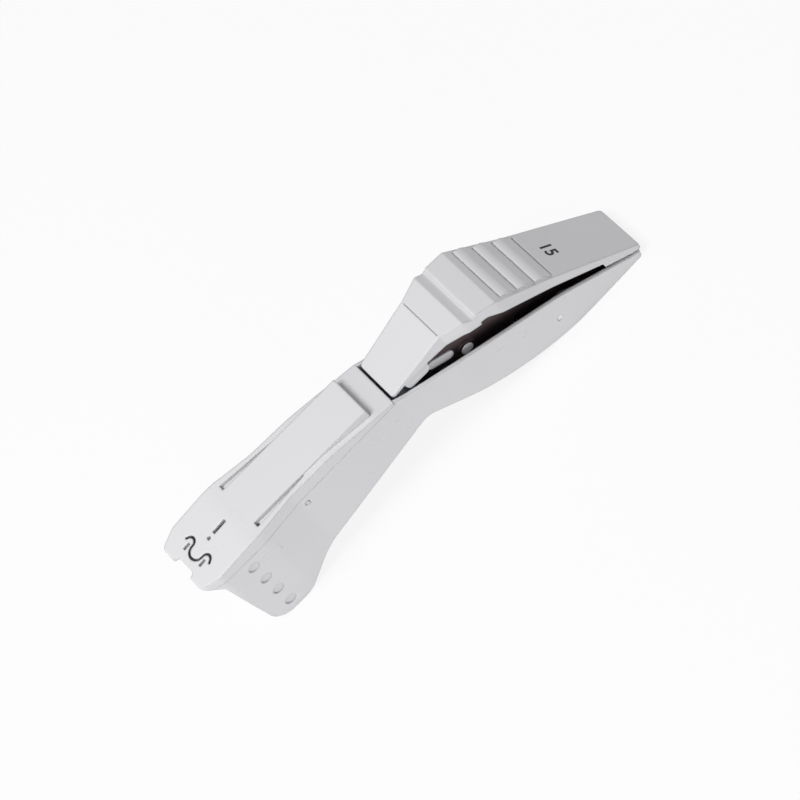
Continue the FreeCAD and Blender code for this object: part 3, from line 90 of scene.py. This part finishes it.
def bump(tree, shader, source, strength, distance, edge=None):
    """Fine relief, with edges rounded by shading where asked."""
    node = tree.nodes.new("ShaderNodeBump")
    node.inputs["Strength"].default_value = strength
    node.inputs["Distance"].default_value = distance
    tree.links.new(source, node.inputs["Height"])
    if edge:
        rounding = tree.nodes.new("ShaderNodeBevel")
        rounding.samples = 6
        rounding.inputs["Radius"].default_value = edge
        tree.links.new(rounding.outputs["Normal"], node.inputs["Normal"])
    tree.links.new(node.outputs["Normal"], shader.inputs["Normal"])


def plastic(name, low, high, rough, coat, edge, grain=900.0, relief=0.00001):
    """Moulded plastic: faint flow marks in the colour, an orange-peel skin and soft edges."""
    material, tree, shader = new_material(name)
    flow = noise(tree, 55.0, 2.0, (0.6, 1.4, 1.0))
    tree.links.new(ramp(tree, flow, low, high, 0.2, 0.8), shader.inputs["Base Color"])
    wear = noise(tree, 210.0, 2.0)
    tree.links.new(spread_range(tree, wear, rough * 0.85, rough * 1.2), shader.inputs["Roughness"])
    shader.inputs["IOR"].default_value = 1.49
    shader.inputs["Coat Weight"].default_value = coat
    shader.inputs["Coat Roughness"].default_value = 0.12
    bump(tree, shader, noise(tree, grain, 5.0), 0.22, relief, edge)
    return material


def metal(name, low, high, rough, edge, stretch=(0.15, 1.0, 1.0), scale=2600.0):
    """Steel with a drawn or ground grain along one axis."""
    material, tree, shader = new_material(name)
    grain = noise(tree, scale, 8.0, stretch)
    tree.links.new(ramp(tree, grain, low, high), shader.inputs["Base Color"])
    tree.links.new(spread_range(tree, grain, rough * 0.75, rough * 1.3), shader.inputs["Roughness"])
    shader.inputs["Metallic"].default_value = 1.0
    bump(tree, shader, grain, 0.3, 0.000006, edge)
    return material


WHITE = plastic("moulded_white", (0.725, 0.723, 0.738), (0.745, 0.743, 0.758), 0.30, 0.25, 0.0006)
LEVER_WHITE = plastic("lever_white", (0.708, 0.706, 0.719), (0.731, 0.729, 0.742), 0.36, 0.15, 0.0006)
CARRIER = plastic("carrier_grey_blue", (0.30, 0.35, 0.42), (0.37, 0.42, 0.48), 0.45, 0.0, 0.0003)
SHEET = metal("sheet_steel", (0.42, 0.42, 0.43), (0.62, 0.62, 0.63), 0.28, 0.0001)
PIN = metal("pin_steel", (0.62, 0.62, 0.63), (0.84, 0.84, 0.85), 0.26, 0.0001, (1.0, 0.15, 1.0))
DARK = metal("dark_steel", (0.105, 0.076, 0.080), (0.140, 0.106, 0.110), 0.42, 0.0001, scale=7000.0)
WIRE = metal("spring_wire", (0.05, 0.045, 0.048), (0.16, 0.15, 0.155), 0.30, None)
STAPLE = metal("staple_wire", (0.60, 0.60, 0.61), (0.82, 0.82, 0.83), 0.18, 0.00005)

LOOKS = {
    "housing": WHITE,
    "top_cover": WHITE,
    "magazine_base": WHITE,
    "thumb_lever": LEVER_WHITE,
    "ram_carriage": CARRIER,
    "follower": CARRIER,
    "magazine": SHEET,
    "anvil": SHEET,
    "ram_guide": SHEET,
    "ram_blade": SHEET,
    "pivot_pin": PIN,
    "stop_pin": PIN,
    "spring_pin": PIN,
    "cross_pin": PIN,
    "blade_rivets": PIN,
    "drive_arm": DARK,
    "return_spring": WIRE,
    "follower_spring": WIRE,
    "ejector_spring": WIRE,
    "top_staple": STAPLE,
    "staple_stack": STAPLE,
}
for name, look in LOOKS.items():
    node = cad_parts[name]
    for slot in node.material_slots:
        slot.material = look


# Printed count on the lever's rear slope

CREST = Vector((26.0, 0.0, 29.10)) * MM
TAIL = Vector((57.1, 0.0, 3.4)) * MM
DOWN_SLOPE = (TAIL - CREST).normalized()
OUTWARD = Vector((-DOWN_SLOPE.z, 0.0, DOWN_SLOPE.x))
DIGIT_SIZE = 4.0 * MM
DIGIT_FROM_CREST = 20.0 * MM
DIGIT_SIDEWAYS = 0.35 * MM
DIGIT_LIFT = 0.03 * MM
DIGIT_BOLDNESS = 0.09 * MM
DIGIT_THICKNESS = 0.012 * MM


def printed_digits():
    """The plain number of staples, read from the far side to the near side."""
    ink, tree, shader = new_material("black_ink")
    patches = noise(tree, 3000.0, 6.0)
    tree.links.new(ramp(tree, patches, (0.010, 0.010, 0.010), (0.035, 0.033, 0.033)),
                   shader.inputs["Base Color"])
    shader.inputs["Roughness"].default_value = 0.55
    bump(tree, shader, patches, 0.2, 0.000004)
    curve = bpy.data.curves.new("printed_digits", "FONT")
    curve.body = "15"
    curve.size = DIGIT_SIZE
    curve.align_x = "CENTER"
    curve.offset = DIGIT_BOLDNESS
    curve.extrude = DIGIT_THICKNESS
    curve.space_character = 1.05
    digits = bpy.data.objects.new("printed_digits", curve)
    bpy.context.collection.objects.link(digits)
    curve.materials.append(ink)
    across = Vector((0.0, -1.0, 0.0))
    place = CREST + DOWN_SLOPE * DIGIT_FROM_CREST - across * DIGIT_SIDEWAYS + OUTWARD * DIGIT_LIFT
    turn = Matrix((across, DOWN_SLOPE, OUTWARD)).transposed().to_4x4()
    digits.matrix_world = Matrix.Translation(place) @ turn
    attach(digits, "lever")


printed_digits()


# Studio

FLOOR_HALF = 3.0
FLOOR_GLOW_SHARE = 0.86
SOFT_LIGHT = 0.36
CENTRE = (0.0, 0.0, 0.01)


def add_floor():
    """Plain pale floor, white to the camera, that keeps a faint shadow."""
    size = FLOOR_HALF
    mesh = bpy.data.meshes.new("floor")
    mesh.from_pydata([(-size, -size, 0), (size, -size, 0), (size, size, 0), (-size, size, 0)],
                     [], [(0, 1, 2, 3)])
    floor = bpy.data.objects.new("floor", mesh)
    floor.location.z = -0.02 * MM
    bpy.context.collection.objects.link(floor)
    material, tree, shader = new_material("floor_white")
    shader.inputs["Base Color"].default_value = (0.82, 0.82, 0.82, 1.0)
    shader.inputs["Roughness"].default_value = 0.8
    glow = tree.nodes.new("ShaderNodeEmission")
    glow.inputs["Color"].default_value = (1.0, 1.0, 1.0, 1.0)
    glow.inputs["Strength"].default_value = 1.0
    path = tree.nodes.new("ShaderNodeLightPath")
    share = tree.nodes.new("ShaderNodeMath")
    share.operation = "MULTIPLY"
    share.inputs[1].default_value = FLOOR_GLOW_SHARE
    seen = tree.nodes.new("ShaderNodeMath")
    seen.operation = "MAXIMUM"
    tree.links.new(path.outputs["Is Camera Ray"], seen.inputs[0])
    tree.links.new(path.outputs["Is Glossy Ray"], seen.inputs[1])
    tree.links.new(seen.outputs["Value"], share.inputs[0])
    mix = tree.nodes.new("ShaderNodeMixShader")
    tree.links.new(share.outputs["Value"], mix.inputs["Fac"])
    tree.links.new(shader.outputs["BSDF"], mix.inputs[1])
    tree.links.new(glow.outputs["Emission"], mix.inputs[2])
    output = next(node for node in tree.nodes if node.type == "OUTPUT_MATERIAL")
    tree.links.new(mix.outputs["Shader"], output.inputs["Surface"])
    mesh.materials.append(material)


def set_world():
    """Even soft light; white where the camera sees past the floor."""
    world = bpy.data.worlds.new("studio")
    bpy.context.scene.world = world
    world.use_nodes = True
    tree = world.node_tree
    tree.nodes.clear()
    soft = tree.nodes.new("ShaderNodeBackground")
    soft.inputs["Color"].default_value = (0.97, 0.97, 1.0, 1.0)
    soft.inputs["Strength"].default_value = SOFT_LIGHT
    white = tree.nodes.new("ShaderNodeBackground")
    white.inputs["Color"].default_value = (1.0, 1.0, 1.0, 1.0)
    white.inputs["Strength"].default_value = 1.0
    path = tree.nodes.new("ShaderNodeLightPath")
    mix = tree.nodes.new("ShaderNodeMixShader")
    output = tree.nodes.new("ShaderNodeOutputWorld")
    tree.links.new(path.outputs["Is Camera Ray"], mix.inputs["Fac"])
    tree.links.new(soft.outputs["Background"], mix.inputs[1])
    tree.links.new(white.outputs["Background"], mix.inputs[2])
    tree.links.new(mix.outputs["Shader"], output.inputs["Surface"])


def area_light(name, place, target, size, watts):
    """Square soft box aimed at a point."""
    data = bpy.data.lights.new(name, "AREA")
    data.energy = watts
    data.size = size
    lamp = bpy.data.objects.new(name, data)
    bpy.context.collection.objects.link(lamp)
    lamp.location = place
    aim = Vector(target) - Vector(place)
    lamp.rotation_euler = aim.to_track_quat("-Z", "Y").to_euler()


def add_camera():
    """Camera at the photograph's angle, found from the object's paired corners."""
    toward = Vector((-0.014296, -0.573576, 0.819027)).normalized()
    right = Vector((0.707659, -0.584491, -0.396975)).normalized()
    up = toward.cross(right).normalized()
    distance = 0.720
    focal_pixels = 3492.0
    picture_pixels = 800.0
    centre = Vector((-1.2, 0.0, 15.4)) * MM
    data = bpy.data.cameras.new("camera")
    data.sensor_width = 36.0
    data.lens = data.sensor_width * focal_pixels / picture_pixels
    data.clip_start = 0.01
    data.clip_end = 20.0
    camera = bpy.data.objects.new("camera", data)
    bpy.context.collection.objects.link(camera)
    turn = Matrix((right, up, toward)).transposed().to_4x4()
    camera.matrix_world = Matrix.Translation(centre + toward * distance) @ turn
    bpy.context.scene.camera = camera


add_floor()
set_world()
area_light("key", (-0.32, -0.10, 0.72), CENTRE, 0.35, 4.35)
area_light("fill", (-0.35, -0.75, 0.12), CENTRE, 0.50, 1.55)
add_camera()
bpy.context.scene.view_settings.view_transform = "Standard"
